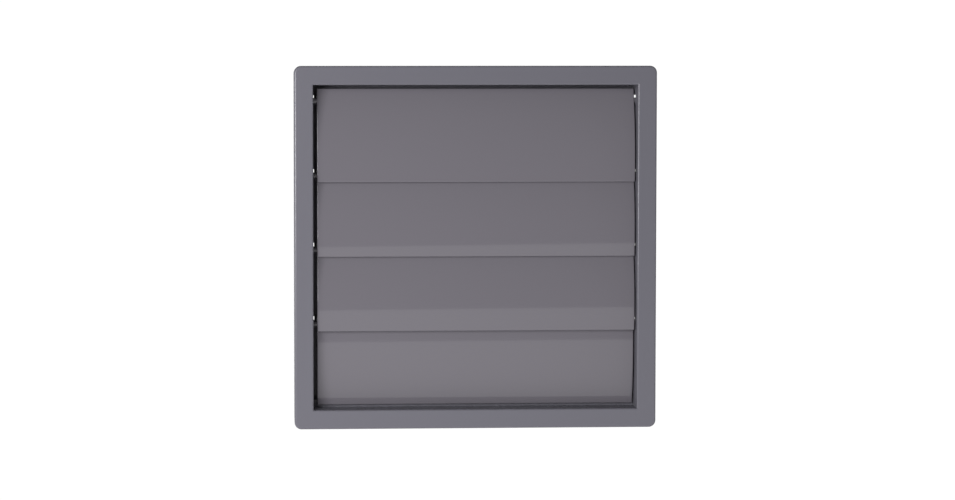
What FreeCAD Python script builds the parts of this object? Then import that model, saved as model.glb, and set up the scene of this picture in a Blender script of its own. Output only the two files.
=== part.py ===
"""Gravity-flap backdraft damper for a 150 mm round duct.

One moulded frame carries four overlapping flaps that hang from pins in its side walls. Millimetres, +Z up.
The front faces -Y. The origin is on the duct axis, in the plane of the wall that the frame is fixed to.
"""
import FreeCAD, Part
import math
import os
import Sketcher

FLAP_COUNT = 4
END_RIB_COUNT = 4

# Driving sizes, in millimetres and degrees.
SIZES = {
    # Face and walls of the frame. The mouth is the duct's spigot and a margin all round.
    "mouth_margin": 11.0,
    "face_projection": 22.0,
    "bezel_width": 10.0,
    "corner_radius": 3.7,
    "face_edge_round": 1.2,
    "mouth_edge_round": 0.8,
    "wall": 1.8,
    "back_plate": 2.0,
    # Stiffening ribs in the hollow behind the bezel, with those of the sides between the hinges.
    "rib_thickness": 1.4,
    "end_rib_spacing": 38.0,
    "rib_setback": 4.0,
    # Round spigot that enters the duct.
    "spigot_radius": 74.0,
    "spigot_length": 30.0,
    "spigot_wall": 1.8,
    "spigot_lead": 0.8,
    # Fixing screws through the back plate.
    "screw_inset": 15.0,
    "screw_hole_radius": 2.2,
    "screw_boss_radius": 5.0,
    "screw_boss_height": 1.2,
    # Hinge line of the flaps.
    "hinge_depth": 9.7,
    "first_hinge_drop": 8.1,
    "pin_radius": 1.5,
    "pin_clearance": 0.15,
    "pin_engagement": 1.2,
    # Moulding slot over each hinge seat, open to the back.
    "slot_rise": 0.9,
    "slot_height": 2.0,
    "slot_lead": 2.4,
    "slot_reach": 0.8,
    # Flap section.
    "flap_end_gap": 1.35,
    "flap_side_float": 0.7,
    "flap_tail": 6.2,
    "flap_overlap": 3.6,
    "flap_front": 2.8,
    "flap_radius": 140.0,
    "flap_thickness": 1.6,
    "flap_edge_round": 0.5,
    "lip_thickness": 2.2,
    "lip_taper": 6.0,
    "lip_clearance": 0.35,
    "sill_space": 1.7,
    "bottom_flap_lean": 8.0,
    # Stops of the flaps: open against a rib, the bottom one closed against a ledge on the sill.
    "opening_angle": 80.0,
    "stop_start": 3.6,
    "stop_width": 4.5,
    "stop_thickness": 2.0,
    "stop_clearance": 0.3,
    "ledge_height": 3.8,
    "ledge_thickness": 1.8,
    "ledge_clearance": 0.3,
}


class Formula:
    """A size written once: its expression on the sheet, and the value that the expression has now."""

    def __init__(self, text, value):
        self.text = text
        self.value = value

    @staticmethod
    def of(term):
        return term if isinstance(term, Formula) else Formula(repr(float(term)), float(term))

    def __add__(self, other):
        other = Formula.of(other)
        return Formula(f"({self.text} + {other.text})", self.value + other.value)

    def __sub__(self, other):
        other = Formula.of(other)
        return Formula(f"({self.text} - {other.text})", self.value - other.value)

    def __mul__(self, other):
        other = Formula.of(other)
        return Formula(f"({self.text} * {other.text})", self.value * other.value)

    def __truediv__(self, other):
        other = Formula.of(other)
        return Formula(f"({self.text} / {other.text})", self.value / other.value)

    def __neg__(self):
        return Formula(f"(0 - {self.text})", -self.value)

    def __rmul__(self, other):
        return Formula.of(other) * self


def sine(angle):
    return Formula(f"sin({angle.text})", math.sin(math.radians(angle.value)))


def cosine(angle):
    return Formula(f"cos({angle.text})", math.cos(math.radians(angle.value)))


class Sheet:
    """The document's spreadsheet. Each driving size is read back as a formula under its own name."""

    def __init__(self, doc, sizes):
        self.cells = doc.addObject("Spreadsheet::Sheet", "Sizes")
        for row, (name, value) in enumerate(sizes.items(), start=1):
            self.cells.set(f"A{row}", name)
            self.cells.set(f"B{row}", str(value))
            self.cells.setAlias(f"B{row}", name)
            setattr(self, name, Formula(f"Sizes.{name}", value))


doc = FreeCAD.newDocument("backdraft_damper")
size = Sheet(doc, SIZES)
doc.recompute()

# Sizes that follow from the driving ones.
half_mouth = size.spigot_radius + size.mouth_margin
half_face = half_mouth + size.bezel_width
mouth_depth = size.face_projection - size.back_plate
hinge_y = size.hinge_depth - size.face_projection
first_hinge_z = half_mouth - size.first_hinge_drop
flap_pitch = (2 * half_mouth - size.first_hinge_drop - size.flap_overlap - size.sill_space) / FLAP_COUNT
hinge_extent = (FLAP_COUNT - 1) * flap_pitch
flap_drop = flap_pitch + size.flap_overlap
flap_length = 2 * (half_mouth - size.flap_end_gap)
pin_length = size.flap_end_gap + size.flap_side_float + size.pin_engagement
# The lip stands off the next flap's skin by its own thickness and a clearance, and that sets the flap's slant.
lip_step = size.lip_thickness + size.lip_clearance
lip_front = size.flap_front + lip_step
tail_span = size.flap_overlap + size.flap_tail
tail_sag = tail_span * (flap_drop + size.flap_tail) / (2 * size.flap_radius)
tail_front = size.flap_front - tail_span * lip_step / flap_pitch - tail_sag
tail_behind = size.flap_thickness - tail_front


def bind(feature, path, formula):
    feature.setExpression(path, Formula.of(formula).text)


def origin_feature(body, role):
    return next(f for f in body.Origin.OriginFeatures if f.Role == role)


def new_body(label):
    body = doc.addObject("PartDesign::Body", label)
    body.Label = label
    return body


def new_sketch(body, name, role, offset=None):
    """A sketch on one of the body's origin planes, moved along the plane's normal by offset."""
    sketch = body.newObject("Sketcher::SketchObject", name)
    sketch.AttachmentSupport = [(origin_feature(body, role), "")]
    sketch.MapMode = "FlatFace"
    if offset is not None:
        bind(sketch, "AttachmentOffset.Base.z", offset)
    return sketch


def constrain(sketch, name, *terms):
    """Adds a dimension whose last term is a formula, and binds it to the sheet."""
    formula = Formula.of(terms[-1])
    index = sketch.addConstraint(Sketcher.Constraint(*terms[:-1], formula.value))
    sketch.renameConstraint(index, name)
    bind(sketch, f"Constraints.{name}", formula)


ORIGIN = (-1, 1)
START, END, CENTRE = range(1, 4)


def place(sketch, name, geometry, point, across, up):
    """Fixes one point of a sketch by its two distances from the sketch's origin."""
    constrain(sketch, f"{name}_across", "DistanceX", *ORIGIN, geometry, point, across)
    constrain(sketch, f"{name}_up", "DistanceY", *ORIGIN, geometry, point, up)


def add_box(sketch, name, left, bottom, right, top):
    """A rectangle between two opposite corners, given by their distances from the sketch's origin."""
    left, bottom, right, top = (Formula.of(edge) for edge in (left, bottom, right, top))
    corners = [(left, bottom), (right, bottom), (right, top), (left, top)]
    points = [FreeCAD.Vector(x.value, y.value, 0) for x, y in corners]
    lines = [
        sketch.addGeometry(Part.LineSegment(points[i], points[(i + 1) % 4]), False) for i in range(4)
    ]
    for i in range(4):
        sketch.addConstraint(Sketcher.Constraint("Coincident", lines[i], END, lines[(i + 1) % 4], START))
        sketch.addConstraint(Sketcher.Constraint(("Horizontal", "Vertical")[i % 2], lines[i]))
    place(sketch, f"{name}_low", lines[0], START, left, bottom)
    place(sketch, f"{name}_high", lines[2], START, right, top)


def add_square(sketch, name, half):
    add_box(sketch, name, -half, -half, half, half)


def add_circle(sketch, name, radius, across=0.0, up=0.0):
    across, up = Formula.of(across), Formula.of(up)
    centre = FreeCAD.Vector(across.value, up.value, 0)
    circle = sketch.addGeometry(Part.Circle(centre, FreeCAD.Vector(0, 0, 1), radius.value), False)
    constrain(sketch, f"{name}_radius", "Radius", circle, radius)
    place(sketch, f"{name}_centre", circle, CENTRE, across, up)


def extrude(body, kind, sketch, length, reverse=False, both_ways=False):
    """A Pad or Pocket of a sketch. A pad follows the sketch's normal and a pocket goes against it."""
    feature = body.newObject(f"PartDesign::{kind}", f"{sketch.Name}_{kind.lower()}")
    feature.Profile = sketch
    feature.Reversed = reverse
    if both_ways:
        feature.SideType = "Symmetric"
    bind(feature, "Length", length)
    sketch.Visibility = False
    doc.recompute()
    return feature


def repeat(body, name, originals, role, extent, count):
    """Copies of features in a row along one of the body's axes, over the given extent, downwards or leftwards."""
    pattern = body.newObject("PartDesign::LinearPattern", name)
    pattern.Originals = originals
    pattern.Direction = (origin_feature(body, role), [""])
    pattern.Reversed = True
    pattern.Occurrences = count
    bind(pattern, "Length", extent)
    body.Tip = pattern
    doc.recompute()
    return pattern


def dress(body, kind, name, amount, wanted):
    """A Fillet or Chamfer on every edge of the body for which wanted(edge) is true."""
    base = body.Tip
    edges = [f"Edge{i}" for i, edge in enumerate(base.Shape.Edges, start=1) if wanted(edge)]
    feature = body.newObject(f"PartDesign::{kind}", name)
    feature.Base = (base, edges)
    bind(feature, "Radius" if kind == "Fillet" else "Size", amount)
    body.Tip = feature
    doc.recompute()
    return feature


TOUCH = 1e-4


def at_y(edge, y):
    """True for an edge that lies in the plane at this y."""
    return all(abs(vertex.Point.y - y) < TOUCH for vertex in edge.Vertexes)


def runs_deep(edge, half):
    """True for an edge along Y where two sides of a square of this half width meet."""
    along = edge.Vertexes[-1].Point - edge.Vertexes[0].Point
    corner = edge.Vertexes[0].Point
    in_corner = abs(abs(corner.x) - half) < TOUCH and abs(abs(corner.z) - half) < TOUCH
    return in_corner and abs(along.y) > TOUCH and abs(along.x) + abs(along.z) < TOUCH


def on_circle(edge, radius):
    """True for an edge of which every point lies this far from the duct axis."""
    return all(abs(math.hypot(v.Point.x, v.Point.z) - radius) < TOUCH for v in edge.Vertexes)


def on_square(edge, half):
    """True for an edge of which every point lies on the sides of a square of this half width."""
    return all(
        abs(max(abs(vertex.Point.x), abs(vertex.Point.z)) - half) < TOUCH for vertex in edge.Vertexes
    )


def make_shell(body):
    """The square face, its skirt and the hollow behind the bezel with its ribs."""
    outline = new_sketch(body, "face_outline", "XZ_Plane")
    add_square(outline, "face", half_face)
    extrude(body, "Pad", outline, size.face_projection)
    dress(body, "Fillet", "face_corners", size.corner_radius, lambda e: runs_deep(e, half_face.value))
    front = -size.face_projection.value
    dress(body, "Fillet", "face_edges", size.face_edge_round, lambda e: at_y(e, front))

    channel = new_sketch(body, "channel", "XZ_Plane")
    add_square(channel, "skirt", half_face - size.wall)
    add_square(channel, "inner", half_mouth + size.wall)
    extrude(body, "Pocket", channel, size.face_projection - size.wall, reverse=True)
    channel_corner = (half_face - size.wall).value
    dress(
        body,
        "Fillet",
        "channel_corners",
        size.corner_radius - size.wall,
        lambda e: runs_deep(e, channel_corner),
    )

    rib_reach = half_face - size.wall / 2
    half_rib = size.rib_thickness / 2
    rib_depth = size.face_projection - size.wall - size.rib_setback
    side_rib_z = first_hinge_z - flap_pitch / 2
    side_ribs = new_sketch(body, "side_ribs", "XZ_Plane", size.rib_setback)
    add_box(side_ribs, "rib", -rib_reach, side_rib_z - half_rib, rib_reach, side_rib_z + half_rib)
    rib = extrude(body, "Pad", side_ribs, rib_depth)
    repeat(body, "side_rib_row", [rib], "Z_Axis", hinge_extent, FLAP_COUNT)

    end_rib_extent = (END_RIB_COUNT - 1) * size.end_rib_spacing
    end_rib_x = end_rib_extent / 2
    end_ribs = new_sketch(body, "end_ribs", "XZ_Plane", size.rib_setback)
    add_box(end_ribs, "rib", end_rib_x - half_rib, -rib_reach, end_rib_x + half_rib, rib_reach)
    rib = extrude(body, "Pad", end_ribs, rib_depth)
    repeat(body, "end_rib_row", [rib], "X_Axis", end_rib_extent, END_RIB_COUNT)


def make_mouth(body):
    """The square mouth down to the back plate, and the round airway with its spigot."""
    mouth = new_sketch(body, "mouth", "XZ_Plane", size.face_projection)
    add_square(mouth, "mouth", half_mouth)
    extrude(body, "Pocket", mouth, mouth_depth)

    airway_radius = size.spigot_radius - size.spigot_wall
    airway = new_sketch(body, "airway", "XZ_Plane")
    add_circle(airway, "airway", airway_radius)
    extrude(body, "Pocket", airway, size.back_plate, reverse=True)

    spigot = new_sketch(body, "spigot", "XZ_Plane")
    add_circle(spigot, "outside", size.spigot_radius)
    add_circle(spigot, "inside", airway_radius)
    extrude(body, "Pad", spigot, size.spigot_length, reverse=True)
    rim_y, rim_radius = size.spigot_length.value, size.spigot_radius.value
    dress(
        body,
        "Chamfer",
        "spigot_lead_in",
        size.spigot_lead,
        lambda e: at_y(e, rim_y) and on_circle(e, rim_radius),
    )


def make_fixings(body):
    """Four screw holes in raised bosses, in the corners of the back plate."""
    reach = half_mouth - size.screw_inset
    corners = [(-reach, -reach), (reach, -reach), (reach, reach), (-reach, reach)]
    bosses = new_sketch(body, "screw_bosses", "XZ_Plane", size.back_plate)
    holes = new_sketch(body, "screw_holes", "XZ_Plane", size.back_plate + size.screw_boss_height)
    for number, (across, up) in enumerate(corners):
        add_circle(bosses, f"boss_{number}", size.screw_boss_radius, across, up)
        add_circle(holes, f"hole_{number}", size.screw_hole_radius, across, up)
    extrude(body, "Pad", bosses, size.screw_boss_height)
    extrude(body, "Pocket", holes, size.back_plate + size.screw_boss_height)


def make_hinge_seats(body):
    """On both side walls: a seat and a moulding slot for each pin, and the rib that stops the flap's tail."""
    seat_radius = size.pin_radius + size.pin_clearance
    slot_low = first_hinge_z + size.slot_rise
    slot_inside = half_mouth - size.slot_reach
    stop_inside = half_mouth - size.stop_width
    tail_low = size.flap_tail * cosine(size.opening_angle) - tail_behind * sine(size.opening_angle)
    stop_top = first_hinge_z + tail_low - size.stop_clearance
    for side, outwards in (("right", 1), ("left", -1)):
        stop = new_sketch(body, f"{side}_stop", "YZ_Plane", outwards * stop_inside)
        add_box(
            stop,
            "stop",
            hinge_y + size.stop_start,
            stop_top - size.stop_thickness,
            -size.back_plate / 2,
            stop_top,
        )
        stop_rib = extrude(body, "Pad", stop, size.stop_width + size.wall / 2, reverse=outwards < 0)

        seat = new_sketch(body, f"{side}_seat", "YZ_Plane", outwards * half_mouth)
        add_circle(seat, "seat", seat_radius, hinge_y, first_hinge_z)
        seat_hole = extrude(body, "Pocket", seat, size.wall, reverse=outwards > 0)

        slot = new_sketch(body, f"{side}_slot", "YZ_Plane", outwards * slot_inside)
        add_box(slot, "slot", hinge_y - size.slot_lead, slot_low, 0.0, slot_low + size.slot_height)
        slot_cut = extrude(body, "Pocket", slot, size.slot_reach + size.wall, reverse=outwards > 0)
        repeat(body, f"{side}_hinges", [stop_rib, seat_hole, slot_cut], "Z_Axis", hinge_extent, FLAP_COUNT)


def make_sill_ledge(body):
    """The ledge on the sill that the bottom flap's lip leans against."""
    lip_rear = (lip_front - size.lip_thickness) * cosine(size.bottom_flap_lean)
    lip_rear = lip_rear - flap_drop * sine(size.bottom_flap_lean)
    ledge_y = hinge_y - lip_rear + size.ledge_clearance
    ledge = new_sketch(body, "sill_ledge", "YZ_Plane")
    add_box(
        ledge,
        "ledge",
        ledge_y,
        -half_mouth - size.wall / 2,
        ledge_y + size.ledge_thickness,
        size.ledge_height - half_mouth,
    )
    extrude(body, "Pad", ledge, 2 * half_mouth + size.wall, both_ways=True)


def make_frame():
    body = new_body("frame")
    make_shell(body)
    make_mouth(body)
    make_fixings(body)
    make_sill_ledge(body)
    make_hinge_seats(body)
    front, mouth = -size.face_projection.value, half_mouth.value
    dress(
        body,
        "Fillet",
        "mouth_edges",
        size.mouth_edge_round,
        lambda e: at_y(e, front) and on_square(e, mouth),
    )
    return body


def flap_section(sketch):
    """The flap's section about its hinge: an arched skin, thickened to the rear at the lip."""
    hinge_to_lip = FreeCAD.Vector(-lip_front.value, -flap_drop.value, 0)
    hinge_to_skin = FreeCAD.Vector(-size.flap_front.value, -size.flap_overlap.value, 0)
    # The centre of the arch is behind the middle of the chord from the overlap to the lip.
    chord = hinge_to_skin - hinge_to_lip
    middle = (hinge_to_skin + hinge_to_lip) / 2
    rearwards = FreeCAD.Vector(chord.y, -chord.x, 0).normalize()
    outer, inner = size.flap_radius, size.flap_radius - size.flap_thickness
    centre = middle + rearwards * math.sqrt(outer.value**2 - (chord.Length / 2) ** 2)

    def on_arch(radius, height):
        return FreeCAD.Vector(centre.x - math.sqrt(radius**2 - (height - centre.y) ** 2), height, 0)

    def inwards(point, depth):
        return point + (centre - point).normalize() * depth

    tail_top = on_arch(outer.value, size.flap_tail.value)
    tail_rear = inwards(tail_top, size.flap_thickness.value)
    lip_rear = inwards(hinge_to_lip, size.lip_thickness.value)
    taper_top = on_arch(inner.value, hinge_to_lip.y + size.lip_taper.value)

    def arc(radius, low, high):
        circle = Part.Circle(centre, FreeCAD.Vector(0, 0, 1), radius)
        # An arc runs anticlockwise, so from the top end to the bottom one on the side that faces forwards.
        return Part.ArcOfCircle(circle, circle.parameter(high), circle.parameter(low))

    skin = sketch.addGeometry(arc(outer.value, hinge_to_lip, tail_top), False)
    lip = sketch.addGeometry(Part.LineSegment(hinge_to_lip, lip_rear), False)
    taper = sketch.addGeometry(Part.LineSegment(lip_rear, taper_top), False)
    back = sketch.addGeometry(arc(inner.value, taper_top, tail_rear), False)
    tail = sketch.addGeometry(Part.LineSegment(tail_rear, tail_top), False)
    overlap = sketch.addGeometry(Part.Point(hinge_to_skin), True)

    for first, first_point, second, second_point in (
        (skin, END, lip, START),
        (lip, END, taper, START),
        (taper, END, back, END),
        (back, START, tail, START),
        (tail, END, skin, START),
        (skin, CENTRE, back, CENTRE),
    ):
        sketch.addConstraint(
            Sketcher.Constraint("Coincident", first, first_point, second, second_point)
        )
    for line in (lip, tail):
        sketch.addConstraint(Sketcher.Constraint("PointOnObject", skin, CENTRE, line))
    sketch.addConstraint(Sketcher.Constraint("PointOnObject", overlap, START, skin))
    place(sketch, "overlap", overlap, START, -size.flap_front, -size.flap_overlap)
    place(sketch, "lip", skin, END, -lip_front, -flap_drop)
    constrain(sketch, "outer_radius", "Radius", skin, outer)
    constrain(sketch, "inner_radius", "Radius", back, inner)
    constrain(sketch, "lip_thickness", "Distance", lip, size.lip_thickness)
    constrain(sketch, "lip_taper", "DistanceY", lip, START, taper, END, size.lip_taper)
    constrain(sketch, "tail_height", "DistanceY", *ORIGIN, skin, START, size.flap_tail)


def make_flap(number):
    """One flap, numbered from the top. The bottom one hangs further in than the others."""
    body = new_body(f"flap_{number}")
    section = new_sketch(body, f"section_{number}", "YZ_Plane")
    flap_section(section)
    extrude(body, "Pad", section, flap_length, both_ways=True)

    def shows(edge):
        """True for an edge of the skin, other than the one at the tail."""
        faces = body.Tip.Shape.ancestorsOfType(edge, Part.Face)
        surfaces = [face.Surface for face in faces if isinstance(face.Surface, Part.Cylinder)]
        on_skin = any(abs(surface.Radius - size.flap_radius.value) < TOUCH for surface in surfaces)
        at_tail = all(abs(vertex.Point.z - size.flap_tail.value) < TOUCH for vertex in edge.Vertexes)
        return on_skin and not at_tail

    dress(body, "Fillet", f"flap_edges_{number}", size.flap_edge_round, shows)
    bead = new_sketch(body, f"hinge_bead_{number}", "YZ_Plane")
    add_circle(bead, "pin", size.pin_radius)
    extrude(body, "Pad", bead, flap_length + 2 * pin_length, both_ways=True)

    lean = size.bottom_flap_lean if number == FLAP_COUNT else Formula.of(0.0)
    body.Placement.Rotation = FreeCAD.Rotation(FreeCAD.Vector(1, 0, 0), lean.value)
    bind(body, "Placement.Rotation.Angle", lean)
    bind(body, "Placement.Base.x", size.flap_side_float)
    bind(body, "Placement.Base.y", hinge_y)
    bind(body, "Placement.Base.z", first_hinge_z - (number - 1) * flap_pitch)
    return body


bodies = [make_frame()]
bodies += [make_flap(number) for number in range(1, FLAP_COUNT + 1)]
doc.recompute()

for item in doc.Objects:
    if "Invalid" in item.State or "Error" in item.State:
        raise RuntimeError(f"{item.Label} failed: {item.State}")
for body in bodies:
    if body.Shape.isNull() or not body.Shape.isValid() or len(body.Shape.Solids) != 1:
        raise RuntimeError(f"{body.Label} is not one valid solid")

os.makedirs("parts", exist_ok=True)
for body in bodies:
    body.Shape.exportStep(f"parts/{body.Label}.step")
    box = body.Shape.BoundBox
    print(
        f"{body.Label}: {body.Shape.Volume / 1000:.1f} cm3,",
        f"x {box.XMin:.2f} to {box.XMax:.2f}, y {box.YMin:.2f} to {box.YMax:.2f},",
        f"z {box.ZMin:.2f} to {box.ZMax:.2f}",
    )
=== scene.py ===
"""Backdraft damper on a white studio sweep: a satin moulded frame with four glossier flaps."""

import math

import bpy
from mathutils import Matrix, Vector


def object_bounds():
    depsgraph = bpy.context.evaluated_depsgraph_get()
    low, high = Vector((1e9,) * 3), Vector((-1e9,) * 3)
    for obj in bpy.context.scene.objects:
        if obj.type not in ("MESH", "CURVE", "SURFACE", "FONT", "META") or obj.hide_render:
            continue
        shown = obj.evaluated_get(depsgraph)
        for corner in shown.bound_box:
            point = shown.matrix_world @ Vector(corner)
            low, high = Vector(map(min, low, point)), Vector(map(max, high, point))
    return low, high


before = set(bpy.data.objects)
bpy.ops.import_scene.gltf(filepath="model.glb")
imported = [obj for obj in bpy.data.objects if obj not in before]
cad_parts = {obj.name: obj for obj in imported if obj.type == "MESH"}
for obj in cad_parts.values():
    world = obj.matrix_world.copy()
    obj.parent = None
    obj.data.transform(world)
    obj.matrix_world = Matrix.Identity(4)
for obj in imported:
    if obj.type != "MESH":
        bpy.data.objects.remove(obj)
cad_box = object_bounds()
FLAPS = [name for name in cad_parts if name.startswith("flap_")]

# The photograph's frame, in pixels, and where its lens axis meets it.
IMAGE_WIDTH, IMAGE_HEIGHT = 955, 500
LENS_AXIS_X, LENS_AXIS_Y = 341.9, 176.5
FOCAL_PIXELS = 1923.0
SENSOR_WIDTH = 36.0

# The camera stands a metre in front of the face, to the left of the middle and above it.
CAMERA_PLACE = Vector((-0.105, -1.022, 0.074))
CAMERA_YAW, CAMERA_PITCH, CAMERA_ROLL = (math.radians(a) for a in (2.0, -2.093, -0.079))

# The sweep: a floor under the object, a curve, and a wall behind.
SWEEP_HALF_WIDTH = 3.0
SWEEP_FRONT, SWEEP_BACK = -4.0, 1.6
SWEEP_CURVE = 0.5
SWEEP_TOP = 2.6
SWEEP_CURVE_STEPS = 12

# How bright the sweep's white strip is, and the grey of the room and of the sweep beyond the strip.
SWEEP_WHITE = 1.03
ROOM_GREY = 0.22

# Each edge of the white strip: the direction across the edge, and how far along it grey and white are
# reached. The flaps mirror the first edge, which gives them their paler bands.
WHITE_STRIP_EDGES = (
    ((0.45, 1.0, 0.0), -0.69, -0.67),
    ((1.0, 0.12, 0.0), -0.50, -0.36),
    ((-1.0, 0.26, 0.0), -0.63, -0.49),
)

# Both plastics bend light alike, and their roughness varies by the same share from patch to patch.
PLASTIC_IOR = 1.52
GLOSS_PATCH = 0.012
GLOSS_SPREAD = 0.08

# The noise textures: the range that most of their values lie in, and how many finer layers each one adds.
NOISE_LOW, NOISE_HIGH = 0.3, 0.7
GLOSS_DETAIL, WAVE_DETAIL, GRAIN_DETAIL = 4.0, 0.0, 2.0


def make_camera():
    """A camera turned a little to the right and down, with its lens shifted to frame the object."""
    data = bpy.data.cameras.new("camera")
    data.sensor_fit = "HORIZONTAL"
    data.sensor_width = SENSOR_WIDTH
    data.lens = FOCAL_PIXELS * SENSOR_WIDTH / IMAGE_WIDTH
    data.shift_x = (IMAGE_WIDTH / 2 - LENS_AXIS_X) / IMAGE_WIDTH
    data.shift_y = (LENS_AXIS_Y - IMAGE_HEIGHT / 2) / IMAGE_WIDTH
    camera = bpy.data.objects.new("camera", data)
    bpy.context.collection.objects.link(camera)
    # A camera looks along its own -Z, so a quarter turn about X makes it look along +Y.
    look_along_y = Matrix.Rotation(math.radians(90) + CAMERA_PITCH, 3, "X")
    turn = Matrix.Rotation(-CAMERA_YAW, 3, "Z")
    roll = Matrix.Rotation(CAMERA_ROLL, 3, "Z")
    camera.matrix_world = Matrix.Translation(CAMERA_PLACE) @ (turn @ look_along_y @ roll).to_4x4()
    bpy.context.scene.camera = camera


class Nodes:
    """A material's node tree, with short ways to add nodes and links."""

    def __init__(self, tree):
        self.tree = tree
        tree.nodes.clear()

    def add(self, kind, **settings):
        node = self.tree.nodes.new(kind)
        for name, value in settings.items():
            setattr(node, name, value)
        return node

    def link(self, source, target):
        self.tree.links.new(source, target)


def new_material(name):
    """An empty node material, with its nodes."""
    material = bpy.data.materials.new(name)
    material.use_nodes = True
    return material, Nodes(material.node_tree)


def moulded_plastic(name, colour, specular, roughness, grain_size, grain_depth, wave_size, wave_depth):
    """Grey plastic from a mould: a fine grain, slow waves in the surface and a slightly uneven gloss."""
    material, nodes = new_material(name)
    place = nodes.add("ShaderNodeTexCoord").outputs["Object"]
    shader = nodes.add("ShaderNodeBsdfPrincipled")
    shader.inputs["Base Color"].default_value = (*colour, 1.0)
    shader.inputs["IOR"].default_value = PLASTIC_IOR
    shader.inputs["Specular IOR Level"].default_value = specular

    gloss = nodes.add("ShaderNodeTexNoise")
    gloss.inputs["Scale"].default_value = 1 / GLOSS_PATCH
    gloss.inputs["Detail"].default_value = GLOSS_DETAIL
    spread = nodes.add("ShaderNodeMapRange")
    spread.inputs["From Min"].default_value = NOISE_LOW
    spread.inputs["From Max"].default_value = NOISE_HIGH
    spread.inputs["To Min"].default_value = roughness * (1 - GLOSS_SPREAD)
    spread.inputs["To Max"].default_value = roughness * (1 + GLOSS_SPREAD)
    nodes.link(place, gloss.inputs["Vector"])
    nodes.link(gloss.outputs["Fac"], spread.inputs["Value"])
    nodes.link(spread.outputs["Result"], shader.inputs["Roughness"])

    waves = (wave_size, wave_depth, WAVE_DETAIL)
    grain = (grain_size, grain_depth, GRAIN_DETAIL)
    normal = None
    for size, depth, detail in (waves, grain):
        noise = nodes.add("ShaderNodeTexNoise")
        noise.inputs["Scale"].default_value = 1 / size
        noise.inputs["Detail"].default_value = detail
        bump = nodes.add("ShaderNodeBump")
        bump.inputs["Strength"].default_value = 1.0
        bump.inputs["Distance"].default_value = depth
        nodes.link(place, noise.inputs["Vector"])
        nodes.link(noise.outputs["Fac"], bump.inputs["Height"])
        if normal is not None:
            nodes.link(normal, bump.inputs["Normal"])
        normal = bump.outputs["Normal"]
    nodes.link(normal, shader.inputs["Normal"])
    nodes.link(shader.outputs["BSDF"], nodes.add("ShaderNodeOutputMaterial").inputs["Surface"])
    return material


def set_material(node_name, material):
    """The given material in every slot of a CAD node."""
    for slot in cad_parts[node_name].material_slots:
        slot.material = material


def sweep_material():
    """Paper that glows white in a broad strip round the object and grey in front and at the sides."""
    material, nodes = new_material("sweep_paper")
    place = nodes.add("ShaderNodeTexCoord").outputs["Object"]
    whiteness = None
    for across, grey_at, white_at in WHITE_STRIP_EDGES:
        along = nodes.add("ShaderNodeVectorMath", operation="DOT_PRODUCT")
        along.inputs[1].default_value = across
        fade = nodes.add("ShaderNodeMapRange", interpolation_type="SMOOTHSTEP")
        fade.inputs["From Min"].default_value = grey_at
        fade.inputs["From Max"].default_value = white_at
        nodes.link(place, along.inputs[0])
        nodes.link(along.outputs["Value"], fade.inputs["Value"])
        edge = fade.outputs["Result"]
        if whiteness is not None:
            both = nodes.add("ShaderNodeMath", operation="MULTIPLY")
            nodes.link(whiteness, both.inputs[0])
            nodes.link(edge, both.inputs[1])
            edge = both.outputs["Value"]
        whiteness = edge
    strength = nodes.add("ShaderNodeMapRange")
    strength.inputs["To Min"].default_value = ROOM_GREY
    strength.inputs["To Max"].default_value = SWEEP_WHITE
    glow = nodes.add("ShaderNodeEmission")
    nodes.link(whiteness, strength.inputs["Value"])
    nodes.link(strength.outputs["Result"], glow.inputs["Strength"])
    nodes.link(glow.outputs["Emission"], nodes.add("ShaderNodeOutputMaterial").inputs["Surface"])
    return material


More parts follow.
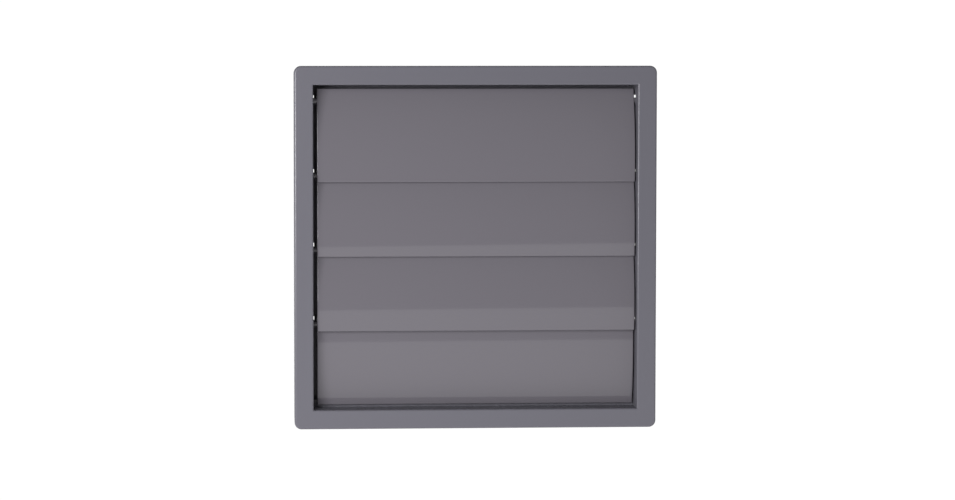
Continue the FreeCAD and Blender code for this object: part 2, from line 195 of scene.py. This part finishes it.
def make_sweep():
    """The sweep's profile in Y and Z, drawn out along X."""
    floor_z = cad_box[0].z
    profile = [(SWEEP_FRONT, floor_z)]
    for step in range(SWEEP_CURVE_STEPS + 1):
        angle = math.radians(90) * step / SWEEP_CURVE_STEPS
        profile.append(
            (SWEEP_BACK + SWEEP_CURVE * math.sin(angle), floor_z + SWEEP_CURVE * (1 - math.cos(angle)))
        )
    profile.append((SWEEP_BACK + SWEEP_CURVE, SWEEP_TOP))
    points = [(x, y, z) for y, z in profile for x in (-SWEEP_HALF_WIDTH, SWEEP_HALF_WIDTH)]
    faces = [(2 * i, 2 * i + 1, 2 * i + 3, 2 * i + 2) for i in range(len(profile) - 1)]
    mesh = bpy.data.meshes.new("sweep")
    mesh.from_pydata(points, [], faces)
    mesh.materials.append(sweep_material())
    sweep = bpy.data.objects.new("sweep", mesh)
    bpy.context.collection.objects.link(sweep)


def make_room():
    """An even grey on all sides, which fills in the shadows."""
    world = bpy.data.worlds.new("room")
    world.use_nodes = True
    background = world.node_tree.nodes["Background"]
    background.inputs["Color"].default_value = (ROOM_GREY, ROOM_GREY, ROOM_GREY, 1.0)
    bpy.context.scene.world = world


def make_softbox(name, place, width, height, watts):
    """A rectangular light that faces the middle of the object."""
    data = bpy.data.lights.new(name, "AREA")
    data.shape = "RECTANGLE"
    data.size, data.size_y = width, height
    data.energy = watts
    light = bpy.data.objects.new(name, data)
    light.location = place
    light.rotation_mode = "QUATERNION"
    light.rotation_quaternion = (-Vector(place)).to_track_quat("-Z", "Y")
    bpy.context.collection.objects.link(light)
    return light


def make_glint(place, width, height, watts):
    """A small light that shows in the gloss of the frame alone, as thin lines along its rounded edges."""
    glint = make_softbox("glint", place, width, height, watts)
    glint.visible_diffuse = False
    takers = bpy.data.collections.new("glint_takers")
    takers.objects.link(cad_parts["frame"])
    glint.light_linking.receiver_collection = takers


make_camera()
make_sweep()
make_room()
make_softbox("key", place=(-0.45, -0.69, 0.13), width=0.52, height=0.44, watts=7.1)
make_softbox("edge", place=(1.5, -0.35, 0.1), width=0.25, height=1.2, watts=4.0)
make_glint(place=(-1.0, -0.85, 0.06), width=0.3, height=0.25, watts=18.0)

frame_plastic = moulded_plastic(
    "frame_plastic",
    colour=(0.125, 0.122, 0.143),
    specular=0.15,
    roughness=0.24,
    grain_size=0.00035,
    grain_depth=0.000002,
    wave_size=0.030,
    wave_depth=0.00001,
)
flap_plastic = moulded_plastic(
    "flap_plastic",
    colour=(0.130, 0.122, 0.140),
    specular=0.42,
    roughness=0.06,
    grain_size=0.00035,
    grain_depth=0.0000001,
    wave_size=0.045,
    wave_depth=0.00002,
)
set_material("frame", frame_plastic)
for flap in FLAPS:
    set_material(flap, flap_plastic)

bpy.context.scene.view_settings.view_transform = "Standard"
